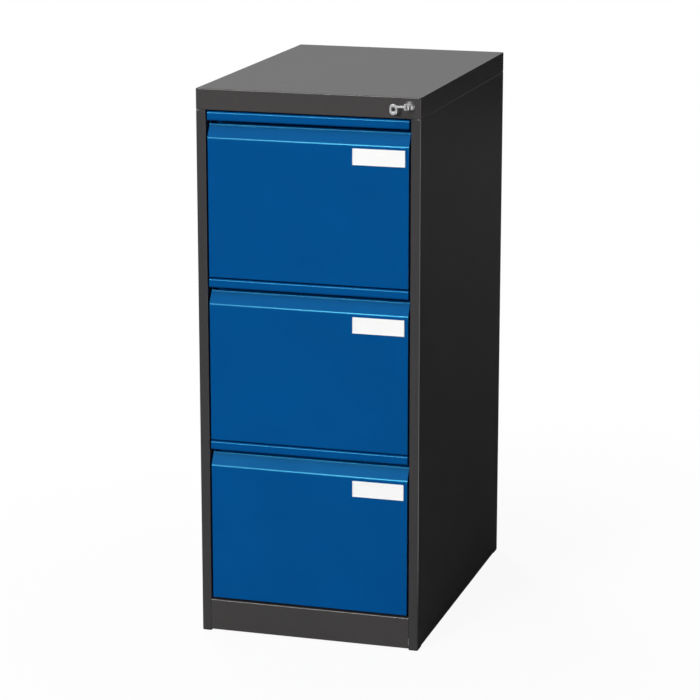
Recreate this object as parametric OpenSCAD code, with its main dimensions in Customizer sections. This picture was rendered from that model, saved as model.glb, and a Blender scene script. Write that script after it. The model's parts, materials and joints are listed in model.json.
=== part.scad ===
// Three-drawer hanging file cabinet in folded sheet steel, in millimetres.
// X runs to the right seen from the front, Y from the front to the back, Z up.
// The origin is on the floor, under the middle of the cabinet with its key.

/* [Cabinet] */
// Width over the side panels
cab_w = 415; // [400:1:480]
// Depth from the front faces to the back
cab_d = 622; // [600:1:700]
// Height over the top cover, feet included
cab_h = 1016; // [980:1:1080]
// Thickness of the cabinet's sheet steel
skin_t = 0.8; // [0.7:0.1:1.2]
// Width of the front return of each side panel
stile_w = 18; // [17:0.5:24]
// Depth of the box fold behind that return
stile_d = 28; // [22:1:34]
// Height of the top cover
lid_h = 38; // [36:1:46]
// Width of the top cover's inward fold
lid_fold = 12; // [8:1:12]
// Width of the side panels' rear return
rear_fold = 15; // [12:1:20]
// Height of the plinth's face
plinth_h = 59; // [50:1:80]
// Height of the cabinet's floor sheet above the ground
floor_z = 41; // [30:1:44]
// How far the feet stand below the steel
foot_h = 3; // [2:0.5:6]
// Outer radius of the vertical corners
corner_r = 3; // [2:0.5:4]
// Outer radius of the long folded edges
edge_r = 1.6; // [1.2:0.1:2.4]

/* [Drawer fronts] */
// Gap between a front and the stile beside it
side_gap = 3.5; // [1.5:0.1:4]
// Gap above each front
front_gap = 2.5; // [1.5:0.1:4]
// Gap between the lowest front and the plinth
plinth_gap = 4; // [2:0.5:6]
// Thickness of the fronts' sheet steel
front_t = 0.8; // [0.7:0.1:1.2]
// Height of the hood over the finger groove
hood_h = 14.5; // [12:0.5:16]
// Radius of the bend along the hood's top edge
hood_r = 3; // [1.5:0.5:4]
// How far the hood's lower fold runs back
hood_in = 3; // [2.5:0.5:5]
// How far below a front's top its face starts to slope back
crease_drop = 48; // [42:0.5:52]
// Radius of the bend between a front's face and its slope
crease_r = 12; // [4:0.5:14]
// How far below a front's top the pull lip is
lip_drop = 23.5; // [22:0.5:27]
// How far behind the face the pull lip is
lip_in = 12; // [10:0.5:16]
// Height of the upright rim between the slope and the lip
lip_rise = 2.5; // [2:0.5:4]
// Depth of the rolled edge that forms the lip
lip_roll = 3.2; // [2:0.2:3.6]
// Length of the fold that hangs behind the lip
lip_fold = 9; // [6:0.5:10]
// Depth of a front from its face to its back cover
front_d = 40; // [38:0.5:46]

/* [Labels] */
// Width of the label holder
label_w = 96; // [60:1:120]
// Height of the label holder
label_h = 29.5; // [20:0.5:50]
// Thickness of the holder's lips
label_lip = 1.2; // [0.8:0.1:2]
// Thickness of the label card
card_t = 0.4; // [0.2:0.1:0.5]
// Gap between the label holder and the crease above it
label_drop = 5.7; // [3:0.1:20]
// Gap between the label holder and the front's edge beside it
label_edge = 6.5; // [3:0.5:40]

/* [Trays] */
// Thickness of the trays' sheet steel
tray_t = 0.8; // [0.7:0.1:1.2]
// Depth of a tray inside
tray_l = 545; // [480:1:560]
// Height of a tray's sides
tray_h = 244; // [200:1:250]
// Distance between the two rails that the files hang from
rail_span = 330; // [320:0.5:332]
// Height of a rail's upright lip
rail_lip = 9; // [6:0.5:12]
// Height of a tray's floor above the bottom of its front
tray_lift = 14; // [10:0.5:20]
// Height of a tray's back
tray_back_h = 190; // [120:5:220]
// Width of the folds along a tray's back
back_fold = 12; // [8:1:16]

/* [Runners] */
// Length of each runner member
runner_l = 530; // [440:1:540]
// How far a drawer pulls out
travel = 530; // [400:1:540]
// Thickness of a closed runner
runner_w = 12.7; // [12.7:0.1:13.5]
// Height of a runner
runner_h = 45.6; // [44:0.2:50]
// Thickness of the runners' steel
runner_t = 1.2; // [1:0.1:1.3]
// Diameter of the outer balls
outer_ball = 4; // [3.4:0.1:4.2]
// Diameter of the inner balls
inner_ball = 3.4; // [3:0.1:3.6]
// Length of a ball cage
cage_l = 226; // [160:2:236]
// Balls in each row
ball_n = 5; // [3:1:7]
// Running gap between balls and races
ball_gap = 0.3; // [0.2:0.05:0.4]
// Height of a runner's middle above the bottom of its front
runner_z = 96; // [60:1:130]

/* [Uprights] */
// Width of an upright
upright_w = 40; // [30:1:50]
// Distance from a runner's front end to the front upright
upright_front = 36; // [24:1:80]
// Distance from a runner's rear end to the rear upright
upright_rear = 10; // [8:1:60]

/* [Lock] */
// Distance from the lock's axis to the side of the cabinet
lock_x = 20.5; // [18:0.5:22]
// Distance from the lock's axis to the top of the cabinet
lock_drop = 15.5; // [15:0.5:18]
// Diameter of the lock's front flange
lock_flange = 19; // [18:0.5:22]
// How far the lock's flange stands proud of the top cover
flange_t = 6; // [2:0.5:9]
// Diameter of the lock's body
lock_body = 16; // [14:0.5:16.5]
// Diameter of the lock's plug
lock_plug_d = 12; // [10:0.5:12]
// Length of the lock behind the cabinet's front
lock_l = 37; // [34:0.5:40]
// Distance from the lock's axis to the pin on its cam
cam_r = 11; // [9:0.1:11]
// Width of the lock bar
bar_w = 16; // [12:1:18]
// Thickness of the lock bar and of its blocking tabs
bar_t = 2; // [1.5:0.1:2]
// Height of a blocking tab
tab_h = 12; // [8:0.5:13]
// Height of a drawer's catch above the bottom of its front
catch_z = 205; // [160:1:215]
// Height of a drawer's catch above the bar's guide
guide_drop = 40; // [30:1:60]
// Height of the lowest catch above the bar's lower end
bar_tail = 60; // [50:1:100]

/* [Key] */
// Length of the key's bow from its hinge
bow_l = 33; // [28:1:40]
// Height of the oval at the end of the bow
bow_ring = 20; // [18:0.5:22]
// Width of that oval
bow_w = 14; // [12:0.5:17]
// Diameter of the hole in it
bow_hole = 7; // [5:0.5:9]
// Thickness of the bow
bow_t = 2.6; // [2:0.1:3]

/* [Hidden] */

charcoal = [0.24, 0.235, 0.23];
dark_steel = [0.13, 0.13, 0.135];
front_blue = [0, 0.3, 0.56];
zinc = [0.72, 0.73, 0.74];
chrome = [0.85, 0.85, 0.86];
black_plastic = [0.06, 0.06, 0.06];

drawer_n = 3;
fit = 0.3;           // gap between pieces that are seated but not welded
running = 0.05;      // radial gap of a shaft in its bore
weld = 0.2;          // depth to which folds of one sheet are merged
bend_steps = 4;      // flats in a quarter of a bend
half_skin = skin_t / 2;
half_front = front_t / 2;

// Planes of the cabinet
hinge_r = 2.4;       // radius of the key's hinge
hinge_out = 7;       // from the lock's plug to that hinge
plug_proud = 0.5;    // how far the plug stands out of the lock's flange
key_proud = flange_t + plug_proud + hinge_out + hinge_r;
side_x = cab_w / 2;
front_y = (key_proud - cab_d) / 2;
back_y = front_y + cab_d;
opening_x = side_x - stile_w;
side_top = cab_h - lid_h;
plinth_top = foot_h + plinth_h;
upright_top = side_top - skin_t - fit;
foot_stem = 8.5;     // how far a foot reaches up inside the steel
floor_skirt = foot_h + foot_stem + fit;

// Drawer fronts, counted from the top
fronts_z0 = plinth_top + plinth_gap;
front_h = (side_top - fronts_z0 - drawer_n * front_gap) / drawer_n;
pitch = front_h + front_gap;
front_x = opening_x - side_gap;
function front_bottom(n) = fronts_z0 + (drawer_n - n) * pitch;
function front_top(n) = front_bottom(n) + front_h;

// Trays and runners
tray_x = opening_x - runner_w - fit;
tray_y = front_y + front_d + fit + front_t + fit;
runner_y = tray_y + 6;
upright_y0 = runner_y + upright_front;
upright_y1 = runner_y + runner_l - upright_rear - upright_w;
cage_y = runner_y + (runner_l - cage_l) / 2;
function runner_mid_z(n) = front_bottom(n) + runner_z;

// Lock
axis_x = side_x - lock_x;
axis_z = cab_h - lock_drop;
cam_y = front_y + lock_l + 1;
cam_t = 2;
cam_start = 45;      // angle of the cam's pin above level while unlocked
pin_r = 2;
pin_slack = 0.6;     // room above and below the cam's pin in the bar
bar_x = opening_x + skin_t + 1;
bar_y = tray_y + 7.4;
bar_travel = 2 * cam_r * sin(cam_start);
bar_bottom = front_bottom(drawer_n) + catch_z - bar_tail;
tooth_t = 1.5;
tooth_h = tab_h + 2;
tab_in = 9;          // how far a tab reaches past the stile's edge
catch_gap = 3;       // how far a locked drawer can be pulled
tooth_y = bar_y + bar_t + catch_gap;
guide_t = 1.5;

// Key
key_face = front_y - flange_t - plug_proud;
hinge_y = key_face - hinge_out;
hinge_pin_r = 1;
eye_h = 5;
ear_h = 2.4;
bow_x = axis_x - bow_l + bow_w / 2;
bow_z = axis_z - 5;

// Plane geometry of folded sheets
function unit(v) = v / norm(v);
function normal(d) = [-d[1], d[0]];
function turned(v, a) = [v[0] * cos(a) - v[1] * sin(a), v[0] * sin(a) + v[1] * cos(a)];
function turn_angle(a, b) = atan2(a[0] * b[1] - a[1] * b[0], a * b);
function reversed(list) = [for (i = [len(list) - 1:-1:0]) list[i]];

// Points of one bend of radius r at p1, set off sideways from the sheet's middle line
function bend(p0, p1, p2, r, off) =
    let (
        d = unit(p1 - p0),
        a = turn_angle(d, unit(p2 - p1)),
        s = sign(a),
        centre = p1 - d * r * tan(abs(a) / 2) + normal(d) * s * r,
        steps = max(2, round(abs(a) / 90 * bend_steps))
    )
    [for (k = [0:steps]) centre + turned(-normal(d) * s * (r - s * off), a * k / steps)];

// One face of a sheet whose middle line follows path, with a radius for each inner point
function sheet_face(path, radii, off) =
    let (last = len(path) - 1)
    concat(
        [path[0] + normal(unit(path[1] - path[0])) * off],
        [for (i = [1:last - 1]) each bend(path[i - 1], path[i], path[i + 1], radii[i - 1], off)],
        [path[last] + normal(unit(path[last] - path[last - 1])) * off]
    );

module sheet_outline(path, radii, t) {
    polygon(concat(sheet_face(path, radii, t / 2), reversed(sheet_face(path, radii, -t / 2))));
}

// Rectangle with its own radius at the lower left, lower right, upper right and upper left
module round_rect(low, high, radii) {
    corners = [low, [high[0], low[1]], high, [low[0], high[1]]];
    centres = [
        low + [radii[0], radii[0]],
        [high[0] - radii[1], low[1] + radii[1]],
        high - [radii[2], radii[2]],
        [low[0] + radii[3], high[1] - radii[3]]
    ];
    polygon([
        for (i = [0:3])
            each radii[i] == 0
                ? [corners[i]]
                : [for (k = [0:bend_steps])
                    centres[i] + turned([radii[i], 0], 180 + 90 * i + 90 * k / bend_steps)]
    ]);
}

// Extrusions of a flat outline: (Y, Z) along X, and (X, Z) along Y
module along_x(x0, x1) {
    translate([x0, 0, 0]) rotate([90, 0, 90]) linear_extrude(x1 - x0) children();
}
module along_y(y0, y1) {
    translate([0, y1, 0]) rotate([90, 0, 0]) linear_extrude(y1 - y0) children();
}
module block(low, high) {
    translate(low) cube(high - low);
}
module both_sides() {
    children();
    mirror([1, 0, 0]) children();
}

// Box whose upright corners, top edges and bottom edges are rounded
module round_block(low, high, corner, top, bottom) {
    intersection() {
        translate([0, 0, low[2]]) linear_extrude(high[2] - low[2])
            round_rect([low[0], low[1]], [high[0], high[1]], [corner, corner, corner, corner]);
        along_x(low[0], high[0])
            round_rect([low[1], low[2]], [high[1], high[2]], [bottom, bottom, top, top]);
        along_y(low[1], high[1])
            round_rect([low[0], low[2]], [high[0], high[2]], [bottom, bottom, top, top]);
    }
}

// Cabinet shell

module top_cover() {
    color(charcoal) difference() {
        round_block([-side_x, front_y, side_top], [side_x, back_y, cab_h], corner_r, edge_r, edge_r);
        block(
            [-side_x + skin_t, front_y + skin_t, side_top + skin_t],
            [side_x - skin_t, back_y - skin_t, cab_h - skin_t]
        );
        block(
            [-side_x + skin_t + lid_fold, front_y + skin_t + lid_fold, side_top - 1],
            [side_x - skin_t - lid_fold, back_y - skin_t - lid_fold, side_top + skin_t + 1]
        );
        translate([axis_x, front_y - 1, axis_z]) rotate([-90, 0, 0])
            cylinder(h = skin_t + 2, d = lock_body + 2 * running, $fn = 48);
    }
}

// The right panel: a box fold at the front, a return at the back and folds at the top
module side_panel() {
    intersection() {
        union() {
            translate([0, 0, foot_h]) linear_extrude(side_top - foot_h) sheet_outline(
                [
                    [side_x - skin_t - fit, front_y + stile_d - half_skin],
                    [opening_x + half_skin, front_y + stile_d - half_skin],
                    [opening_x + half_skin, front_y + half_skin],
                    [side_x - half_skin, front_y + half_skin],
                    [side_x - half_skin, back_y - half_skin],
                    [side_x - rear_fold, back_y - half_skin]
                ],
                [edge_r - half_skin, edge_r - half_skin, corner_r - half_skin, corner_r - half_skin],
                skin_t
            );
            block(
                [side_x - skin_t - lid_fold, front_y + stile_d - weld, side_top - skin_t],
                [side_x - skin_t + weld, back_y - skin_t + weld, side_top]
            );
            block(
                [opening_x + skin_t - weld, front_y + skin_t - weld, side_top - skin_t],
                [side_x - skin_t + weld, front_y + stile_d, side_top]
            );
        }
        round_block(
            [-side_x, front_y, foot_h], [side_x, back_y, side_top], corner_r, edge_r, 0
        );
    }
}

module left_side_panel() {
    color(dark_steel) mirror([1, 0, 0]) side_panel();
}
module right_side_panel() {
    color(dark_steel) side_panel();
}

// Sheet inside the rear returns, folded in at its top and bottom
module back_panel() {
    y = back_y - skin_t - half_skin;
    low = floor_skirt + 8;
    high = side_top - skin_t - fit - half_skin;
    color(dark_steel) along_x(-side_x + corner_r + fit, side_x - corner_r - fit) sheet_outline(
        [[y - lid_fold, low], [y, low], [y, high], [y - lid_fold, high]],
        [edge_r - half_skin, edge_r - half_skin],
        skin_t
    );
}

// Floor of the cabinet, with a skirt all round
module base_pan() {
    x = side_x - skin_t - fit;
    y0 = front_y + stile_d + fit;
    y1 = back_y - 2 * skin_t - lid_fold - 2 * fit;
    color(dark_steel) difference() {
        block([-x, y0, floor_skirt], [x, y1, floor_z]);
        block(
            [-x + skin_t, y0 + skin_t, floor_skirt - 1],
            [x - skin_t, y1 - skin_t, floor_z - skin_t]
        );
    }
}

// Kick plate between the stiles, folded back over the floor sheet
module plinth() {
    y = front_y + half_skin;
    y_back = front_y + stile_d + skin_t + 2;
    color(charcoal) along_x(-opening_x, opening_x) sheet_outline(
        [
            [y + 14, foot_h + half_skin],
            [y, foot_h + half_skin],
            [y, plinth_top - half_skin],
            [y_back, plinth_top - half_skin],
            [y_back, floor_z]
        ],
        [edge_r - half_skin, edge_r, edge_r - half_skin],
        skin_t
    );
}

// Hat section against the right side panel, with a slot for each runner's hook
module upright(y0) {
    foot_w = 8;
    x_skin = side_x - skin_t - half_skin;
    x_web = opening_x + half_skin;
    difference() {
        translate([0, 0, floor_z]) linear_extrude(upright_top - floor_z) sheet_outline(
            [
                [x_skin, y0 - foot_w],
                [x_skin, y0 + half_skin],
                [x_web, y0 + half_skin],
                [x_web, y0 + upright_w - half_skin],
                [x_skin, y0 + upright_w - half_skin],
                [x_skin, y0 + upright_w + foot_w]
            ],
            [edge_r, edge_r, edge_r, edge_r] - half_skin * [1, 1, 1, 1],
            skin_t
        );
        for (n = [1:drawer_n])
            hook(n, y0 + upright_w / 2, fit);
    }
}

module front_left_upright() {
    color(dark_steel) mirror([1, 0, 0]) upright(upright_y0);
}
module front_right_upright() {
    color(dark_steel) upright(upright_y0);
}
module rear_left_upright() {
    color(dark_steel) mirror([1, 0, 0]) upright(upright_y1);
}
module rear_right_upright() {
    color(dark_steel) upright(upright_y1);
}

// Glide under one corner, with its stem up inside the folds
module foot(y0, y1) {
    inset = corner_r;
    round_block([opening_x, y0, 0], [side_x, y1, foot_h], corner_r, 0, foot_h * 0.6);
    block(
        [opening_x + inset, y0 + inset, foot_h - weld],
        [side_x - inset, y1 - inset, foot_h + foot_stem]
    );
}

module feet() {
    color(black_plastic) both_sides() {
        foot(front_y, front_y + stile_d);
        foot(back_y - stile_d, back_y);
    }
}

// Runners. A section is drawn with X from the upright towards the drawer and Y up.

outer_race = runner_h / 2 - runner_t;
outer_ball_v = outer_race - ball_gap - outer_ball / 2;
middle_face = outer_ball_v - outer_ball / 2 - ball_gap;
middle_race = middle_face - runner_t;
inner_ball_v = middle_race - ball_gap - inner_ball / 2;
inner_face = inner_ball_v - inner_ball / 2 - ball_gap;
cage_t = 0.6;
middle_u = runner_t + cage_t + 2 * fit;
inner_cage_u = middle_u + runner_t + fit;
outer_ball_u = middle_u + runner_t + outer_ball / 2 + fit;
inner_ball_u = inner_cage_u + cage_t + inner_ball / 2 + fit;

// Web at u0 to u1 with two legs that start at the web and end at leg_u, faces at v0 and v1
module channel(u0, u1, leg_u, v0, v1) {
    translate([u0, -v1]) square([u1 - u0, 2 * v1]);
    for (s = [-1, 1])
        translate([min(u0, leg_u), s > 0 ? v0 : -v1])
            square([max(u1, leg_u) - min(u0, leg_u), v1 - v0]);
}

module outer_section() {
    lip_u = outer_ball_u + outer_ball / 2 + fit;
    channel(0, runner_t, lip_u + runner_t, outer_race, runner_h / 2);
    for (s = [-1, 1])
        translate([lip_u, s > 0 ? outer_ball_v : -outer_race - weld])
            square([runner_t, outer_race - outer_ball_v + weld]);
}

module middle_section() {
    leg_u = outer_ball_u + outer_ball / 2;
    channel(middle_u, middle_u + runner_t, leg_u, middle_race, middle_face);
    translate([middle_u, -outer_ball_v + cage_t / 2 + fit])
        square([runner_t, 2 * (outer_ball_v - cage_t / 2 - fit)]);
}

module inner_section() {
    channel(
        runner_w - runner_t, runner_w, inner_cage_u + cage_t + fit, inner_face - runner_t, inner_face
    );
}

// Both runner members of drawer n, from a section
module runner_pair(n) {
    both_sides() translate([opening_x, 0, runner_mid_z(n)]) mirror([1, 0, 0])
        along_y(runner_y, runner_y + runner_l) children();
}

// Tab behind an outer member that hangs in an upright's slot
module hook(n, y, gap) {
    hook_w = 10;
    hook_h = 12;
    hook_d = 5;
    block(
        [opening_x - weld, y - hook_w / 2 - gap, runner_mid_z(n) - hook_h / 2 - gap],
        [opening_x + hook_d, y + hook_w / 2 + gap, runner_mid_z(n) + hook_h / 2 + gap]
    );
}

module runner_outer(n) {
    color(zinc) {
        runner_pair(n) outer_section();
        both_sides() {
            hook(n, upright_y0 + upright_w / 2, 0);
            hook(n, upright_y1 + upright_w / 2, 0);
        }
    }
}
module runner_middle(n) {
    color(zinc) runner_pair(n) middle_section();
}
module runner_inner(n) {
    color(zinc) runner_pair(n) inner_section();
}

// Cage strip with two rows of balls, from u0 to u1, on both sides of drawer n
module ball_cage(n, u0, u1, ball_u, ball_v, ball_d) {
    step = cage_l / ball_n;
    both_sides() translate([opening_x, 0, runner_mid_z(n)]) mirror([1, 0, 0]) {
        difference() {
            along_y(cage_y, cage_y + cage_l)
                channel(u0, u0 + cage_t, u1, ball_v - cage_t / 2, ball_v + cage_t / 2);
            for (i = [0:ball_n - 1], s = [-1, 1])
                translate([ball_u, cage_y + (i + 0.5) * step, s * ball_v])
                    cylinder(h = cage_t + 2, d = ball_d + 0.2, center = true, $fn = 24);
        }
        for (i = [0:ball_n - 1], s = [-1, 1])
            translate([ball_u, cage_y + (i + 0.5) * step, s * ball_v])
                sphere(d = ball_d, $fn = 24);
    }
}

module outer_balls(n) {
    color(chrome) ball_cage(
        n, runner_t + fit, outer_ball_u + outer_ball / 2, outer_ball_u, outer_ball_v, outer_ball
    );
}
module inner_balls(n) {
    color(chrome) ball_cage(
        n, inner_cage_u, inner_ball_u + inner_ball / 2, inner_ball_u, inner_ball_v, inner_ball
    );
}

// Drawer fronts

// Where the scoop behind the lip meets the face and the back cover
scoop_face_drop = crease_drop + 14;
scoop_back_drop = lip_drop + 12;

// Outer sheet: face, slope and pull lip, with a return at the bottom and at each end
module drawer_front(n) {
    bottom = front_bottom(n);
    top = front_top(n);
    face = front_y + half_front;
    lip_y = front_y + lip_in + half_front;
    color(front_blue) intersection() {
        union() {
            along_x(-front_x, front_x) sheet_outline(
                [
                    [front_y + front_d, bottom + half_front],
                    [face, bottom + half_front],
                    [face, top - crease_drop],
                    [lip_y, top - lip_drop - lip_rise],
                    [lip_y, top - lip_drop],
                    [lip_y + lip_roll, top - lip_drop],
                    [lip_y + lip_roll, top - lip_drop - lip_fold]
                ],
                [edge_r, crease_r, 1.2, lip_roll / 2, lip_roll / 2],
                front_t
            );
            both_sides() along_x(front_x - front_t, front_x) polygon([
                [front_y + front_t - weld, bottom],
                [front_y + front_d, bottom],
                [front_y + front_d, top - scoop_back_drop - front_t - fit],
                [front_y + front_t - weld, top - scoop_face_drop - front_t - fit]
            ]);
        }
        translate([0, 0, bottom]) linear_extrude(front_h) round_rect(
            [-front_x, front_y], [front_x, front_y + front_d], [edge_r, edge_r, 0, 0]
        );
    }
}

// Inner sheet: hood, top, back wall and scoop, with a plate at each end
module drawer_top_rail(n) {
    top = front_top(n);
    face = front_y + half_front;
    back = front_y + front_d - half_front;
    plate_y = front_y + lip_in + lip_roll + front_t + fit;
    root = front_y + front_t + half_front;
    rise = (crease_drop - lip_drop - lip_rise) / lip_in;
    under_lip = top - lip_drop - lip_fold - 1;
    // Where a line under the slope, clear of it by fit, is as low as under_lip
    slope_y = face + (under_lip - top + crease_drop) / rise + (half_front + fit) * norm([1, 1 / rise]);
    flange_end = top - scoop_face_drop - 10;
    color(front_blue) {
        difference() {
            along_x(-front_x, front_x) sheet_outline(
                [
                    [front_y + hood_in, top - hood_h - hood_in / 2],
                    [face, top - hood_h],
                    [face, top - half_front],
                    [back, top - half_front],
                    [back, top - scoop_back_drop],
                    [root, top - scoop_face_drop],
                    [root, flange_end]
                ],
                [3.5, hood_r, edge_r, 8, 2],
                front_t
            );
            // The flange behind the face stops short of the outer sheet's end returns
            both_sides() block(
                [front_x - front_t - fit, front_y, flange_end - 1],
                [front_x + 1, root + half_front + fit, top - scoop_face_drop]
            );
        }
        both_sides() along_x(front_x - front_t, front_x) polygon([
            [root, top - scoop_face_drop],
            [root, top - crease_drop - 2],
            [slope_y, under_lip],
            [plate_y, under_lip],
            [plate_y, top - half_front],
            [back, top - half_front],
            [back, top - scoop_back_drop - 1]
        ]);
    }
}

// Cover over the back of the front, folded back at its top
module drawer_inner_front(n) {
    y = front_y + front_d + fit + half_front;
    inset = 2;
    color(dark_steel) difference() {
        along_x(-front_x + inset, front_x - inset) sheet_outline(
            [
                [y, front_bottom(n) + inset],
                [y, front_top(n) - inset],
                [y + 8, front_top(n) - inset]
            ],
            [edge_r],
            front_t
        );
        block(
            [tray_x - 1, y + front_t, front_bottom(n)],
            [front_x + 1, y + 20, front_top(n) + 1]
        );
        block(
            [-front_x - 1, y + front_t, front_bottom(n)],
            [-tray_x + 1, y + 20, front_top(n) + 1]
        );
    }
}

// Clear of the crease above it and of the front's right edge
module label_place(n) {
    translate([front_x - label_edge - label_w, front_y, front_top(n) - crease_drop - label_drop - label_h])
        children();
}

label_base = 0.6;

module label_holder(n) {
    lip_d = label_base + card_t + 0.6;
    color("white") label_place(n) difference() {
        block([0, -lip_d, 0], [label_w, 0, label_h]);
        block(
            [label_lip, -lip_d - 1, label_lip],
            [label_w - label_lip, -label_base, label_h + 1]
        );
    }
}

module label_card(n) {
    color("white") label_place(n) block(
        [label_lip + fit, -label_base - card_t, label_lip],
        [label_w - label_lip - fit, -label_base, label_h]
    );
}

// Trays

tray_bend_r = 2;     // radius of the bends along a tray's floor

module drawer_tray(n) {
    half = tray_t / 2;
    x = tray_x - half;
    z0 = front_bottom(n) + tray_lift + half;
    z1 = z0 + tray_h;
    rail_x = rail_span / 2 + half;
    slot_step = 60;
    slot_w = 4;
    slot_l = 60;
    slot_n = floor((tray_l - 2 * slot_step) / slot_step);
    color(dark_steel) difference() {
        along_y(tray_y, tray_y + tray_l + tray_t) sheet_outline(
            [
                [-rail_x, z1 + rail_lip], [-rail_x, z1], [-x, z1], [-x, z0],
                [x, z0], [x, z1], [rail_x, z1], [rail_x, z1 + rail_lip]
            ],
            [1, 1.5, tray_bend_r, tray_bend_r, 1.5, 1],
            tray_t
        );
        for (i = [0:slot_n], side = [-1, 1])
            translate([side * tray_x / 2, tray_y + (i + 1) * slot_step, z0])
                cube([slot_l, slot_w, 3 * tray_t], center = true);
    }
}

// Rear wall between the tray's sides, folded forward at its top
module drawer_back(n) {
    half = tray_t / 2;
    y = tray_y + tray_l - half;
    z0 = front_bottom(n) + tray_lift + tray_t;
    x = tray_x - tray_t - fit;
    notch = tray_bend_r;
    color(dark_steel) difference() {
        along_x(-x, x) sheet_outline(
            [
                [y - back_fold, z0 + half],
                [y, z0 + half],
                [y, z0 + tray_back_h],
                [y - back_fold, z0 + tray_back_h]
            ],
            [2, 2],
            tray_t
        );
        // Lower corners, notched clear of the tray's bends
        both_sides() block([x - notch, y - back_fold - 1, z0 - 1], [x + 1, y + 1, z0 + notch]);
    }
}

// Lock

// Cylinder along Y from y0 to y1 on the lock's axis
module lock_round(y0, y1, r) {
    translate([axis_x, y0, axis_z]) rotate([-90, 0, 0]) cylinder(h = y1 - y0, r = r, $fn = 64);
}

module lock_housing() {
    flange_r = lock_flange / 2;
    bevel = 1.6;
    color(chrome) difference() {
        union() {
            lock_round(front_y - flange_t + bevel, front_y, flange_r);
            translate([axis_x, front_y - flange_t, axis_z]) rotate([-90, 0, 0])
                cylinder(h = bevel, r1 = flange_r - bevel, r2 = flange_r, $fn = 64);
            lock_round(front_y - 0.1, front_y + lock_l - 1, lock_body / 2);
        }
        lock_round(front_y - flange_t - 1, front_y + lock_l, lock_plug_d / 2 + running);
    }
}

module lock_nut() {
    nut_t = 4;
    color(zinc) translate([axis_x, front_y + skin_t, axis_z]) rotate([-90, 0, 0]) difference() {
        cylinder(h = nut_t, r = lock_body / 2 + 4, $fn = 6);
        translate([0, 0, -1]) cylinder(h = nut_t + 2, r = lock_body / 2 + running, $fn = 64);
    }
}

keyway_w = 2.2;
keyway_h = 7;
spigot_r = 3;
spigot_end = cam_y + cam_t + 0.4;
screw_r = 1.5;
screw_l = 7;

module lock_plug() {
    color(chrome) difference() {
        union() {
            lock_round(key_face, cam_y - fit, lock_plug_d / 2);
            lock_round(cam_y - 1, spigot_end, spigot_r);
        }
        lock_round(spigot_end - screw_l - 1, spigot_end + 1, screw_r + running);
        block(
            [axis_x - keyway_w / 2, key_face - 1, axis_z - keyway_h / 2],
            [axis_x + keyway_w / 2, key_face + 26, axis_z + keyway_h / 2]
        );
    }
}

// Cam on the plug's rear spigot, with the pin that moves the lock bar
module lock_cam() {
    pin = [axis_x + cam_r * cos(cam_start), axis_z + cam_r * sin(cam_start)];
    arm_r = pin_r + 1.5;
    color(zinc) {
        difference() {
            union() {
                lock_round(cam_y, cam_y + cam_t, spigot_r + 3);
                translate([axis_x, cam_y + cam_t, axis_z]) rotate([90, -cam_start, 0])
                    translate([0, -arm_r, 0]) cube([cam_r, 2 * arm_r, cam_t]);
                translate([pin[0], cam_y, pin[1]]) rotate([-90, 0, 0])
                    cylinder(h = cam_t, r = arm_r, $fn = 32);
                translate([pin[0], cam_y, pin[1]]) rotate([-90, 0, 0])
                    cylinder(h = bar_y + bar_t + 1 - cam_y, r = pin_r, $fn = 32);
            }
            lock_round(cam_y - 1, cam_y + cam_t + 1, spigot_r + running);
        }
    }
}

// Pan-head screw in the plug's rear end, with a cross recess
module cam_screw() {
    head_r = 4.2;
    head_t = 2;
    recess = 0.9;
    color(zinc) difference() {
        union() {
            lock_round(spigot_end - screw_l, spigot_end + weld, screw_r);
            lock_round(spigot_end, spigot_end + head_t, head_r);
        }
        for (a = [0, 90])
            translate([axis_x, spigot_end + head_t, axis_z]) rotate([0, a, 0])
                cube([4.4, 2 * recess, 0.9], center = true);
    }
}

// Bar behind the right stile, with a head that the cam's pin moves
module lock_bar() {
    head_h = 2 * (pin_r + pin_slack) + 4;
    head_x0 = opening_x + fit;
    slot_x0 = axis_x + cam_r * cos(cam_start) - pin_r - pin_slack;
    slot_x1 = axis_x + cam_r + pin_r + pin_slack;
    head_z = axis_z + cam_r * sin(cam_start);
    neck_z = head_z - head_h / 2 - 1;
    color(zinc) {
        block([bar_x, bar_y, bar_bottom], [bar_x + bar_t, bar_y + bar_w, neck_z]);
        block([head_x0, bar_y, neck_z - 6], [bar_x + bar_t + 4, bar_y + bar_t, neck_z + 2]);
        difference() {
            block(
                [head_x0, bar_y, head_z - head_h / 2],
                [slot_x1 + 2, bar_y + bar_t, head_z + head_h / 2]
            );
            block(
                [slot_x0, bar_y - 1, head_z - pin_r - pin_slack],
                [slot_x1, bar_y + bar_t + 1, head_z + pin_r + pin_slack]
            );
        }
    }
}

// Tab on the bar for each drawer, raised clear of its catch
module lock_bar_tabs() {
    color(zinc) for (n = [1:drawer_n]) {
        z = front_bottom(n) + catch_z + bar_travel;
        block(
            [opening_x - tab_in, bar_y, z - tab_h / 2],
            [bar_x, bar_y + bar_t, z + tab_h / 2]
        );
    }
}

// Angle on the right side panel with a slot that the bar slides in
module lock_bar_guide(z) {
    x = side_x - skin_t;
    y0 = bar_y - 4;
    y1 = bar_y + bar_w + 3;
    difference() {
        union() {
            block([opening_x + fit, y0, z], [x, y1, z + guide_t]);
            block([x - guide_t, y0, z - 12], [x, y1, z + guide_t]);
        }
        block(
            [bar_x - fit, bar_y - fit, z - 1],
            [bar_x + bar_t + fit, bar_y + bar_w + fit, z + guide_t + 1]
        );
    }
}

module lock_bar_guides() {
    color(zinc) for (n = [1:drawer_n])
        lock_bar_guide(front_bottom(n) + catch_z - guide_drop);
}

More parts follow.
